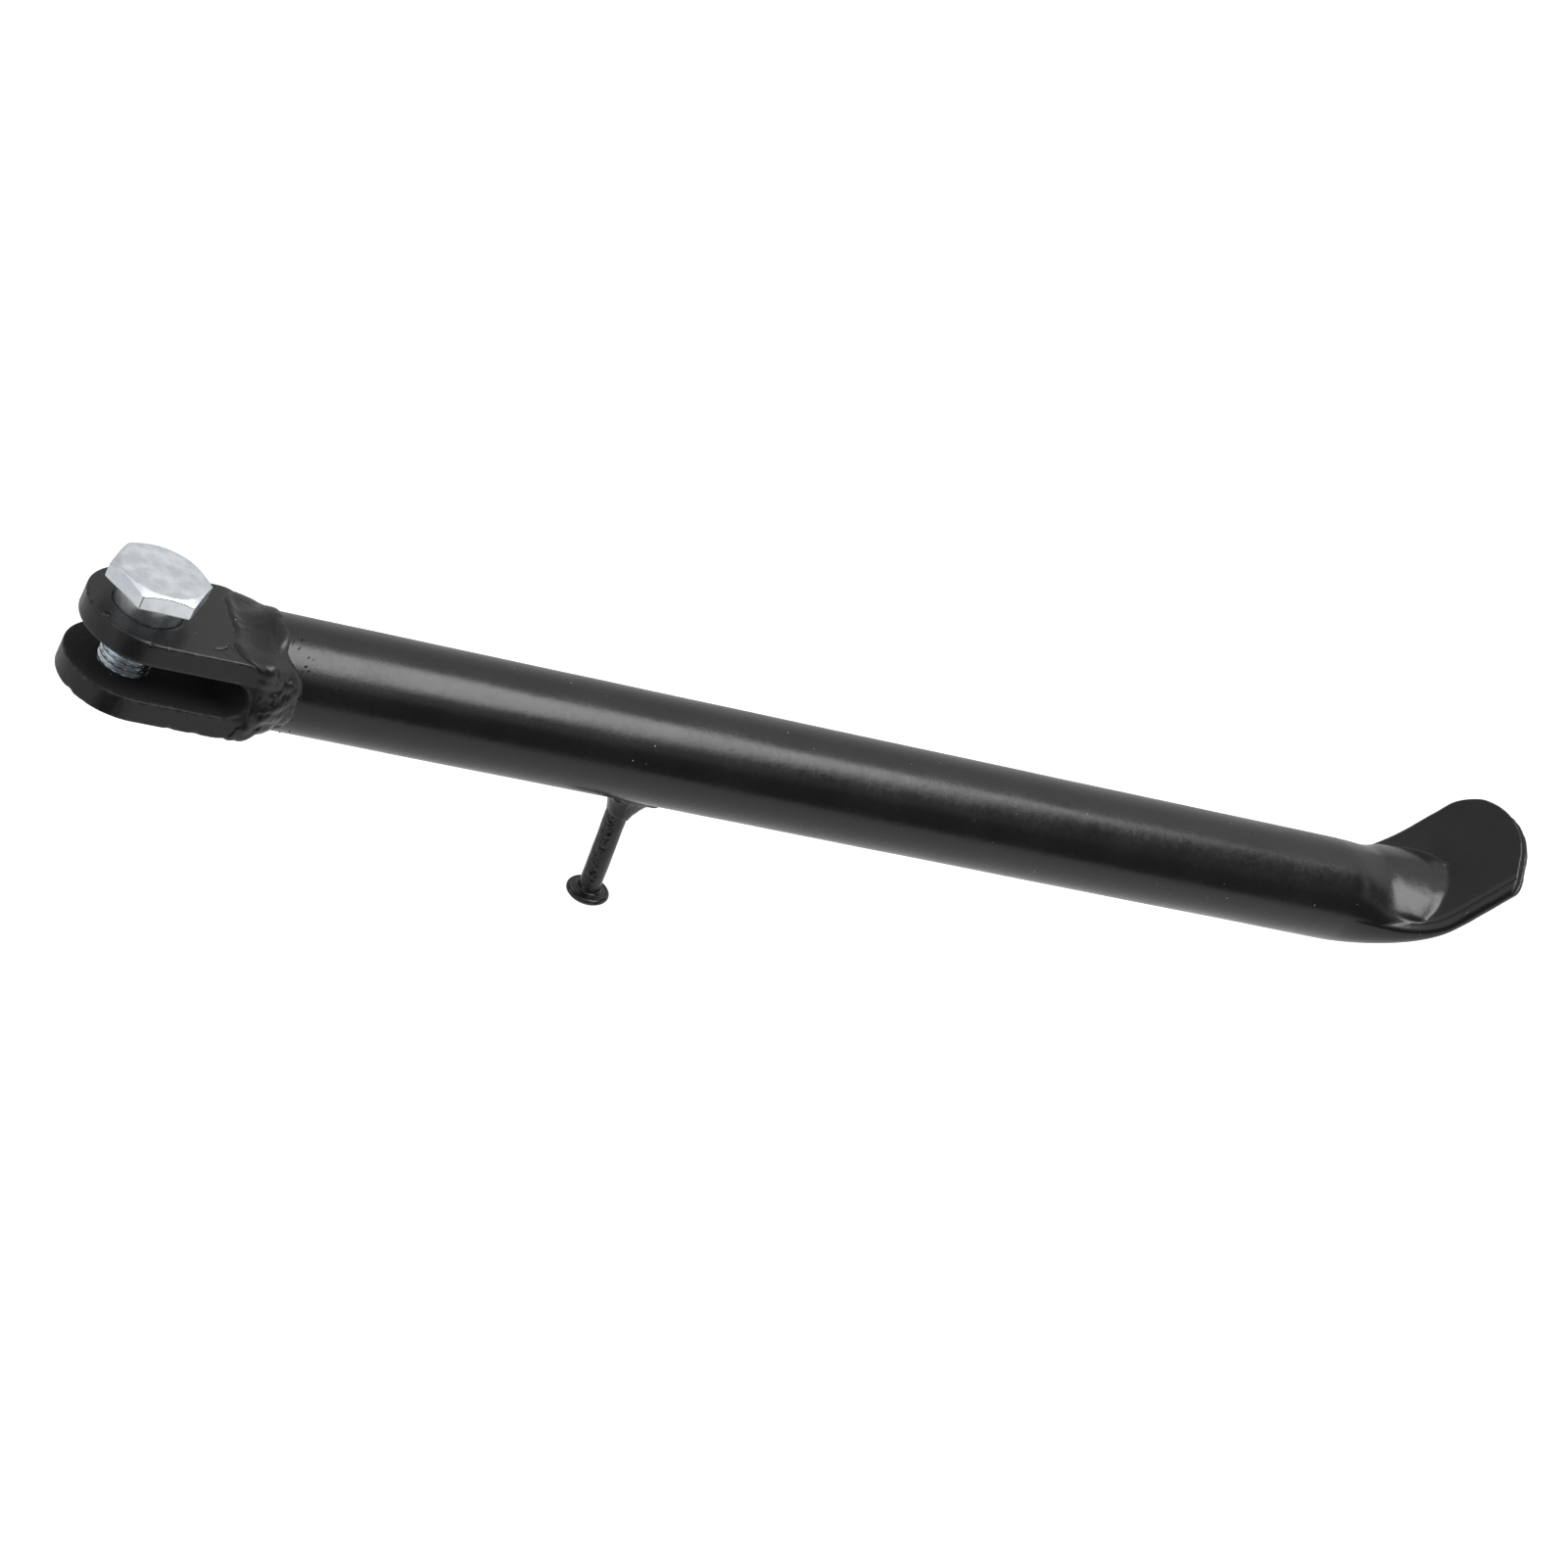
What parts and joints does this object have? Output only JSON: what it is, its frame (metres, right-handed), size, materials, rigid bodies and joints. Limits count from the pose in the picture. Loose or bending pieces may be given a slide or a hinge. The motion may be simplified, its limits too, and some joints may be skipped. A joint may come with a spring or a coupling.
{
  "type": "motorcycle side stand",
  "caption": "Side stand: a forked pivot end on a straight tube leg with a bent, flattened foot, a spring stud and a hex-head pivot bolt.",
  "frame": {"origin": "on the pivot axis, midway between the fork's two ears", "axes": "+X along the leg from the pivot to the foot, +Z along the pivot bolt towards its head"},
  "size_m": [0.3201, 0.0315, 0.0635],
  "materials": {
    "fork_paint": "semi-gloss black paint over cut steel",
    "leg_paint": "semi-gloss black paint with a fine orange peel",
    "weld_paint": "semi-gloss black paint over a rippled weld bead",
    "stud_paint": "gloss black paint",
    "stud_weld_paint": "gloss black paint over a weld bead",
    "bolt_zinc": "bright zinc plate"
  },
  "bodies": {
    "pivot": {"pivot_bolt": "bolt_zinc"},
    "leg": {"fork": "fork_paint", "leg_tube": "leg_paint", "fork_weld": "weld_paint", "spring_stud": "stud_paint", "stud_weld": "stud_weld_paint"}
  },
  "joints": [
    {"name": "stand_swing", "type": "hinge", "parent": "pivot", "child": "leg", "pos_m": [0, 0, 0], "axis": [0, 0, 1], "range_deg": [0, 95]}
  ]
}
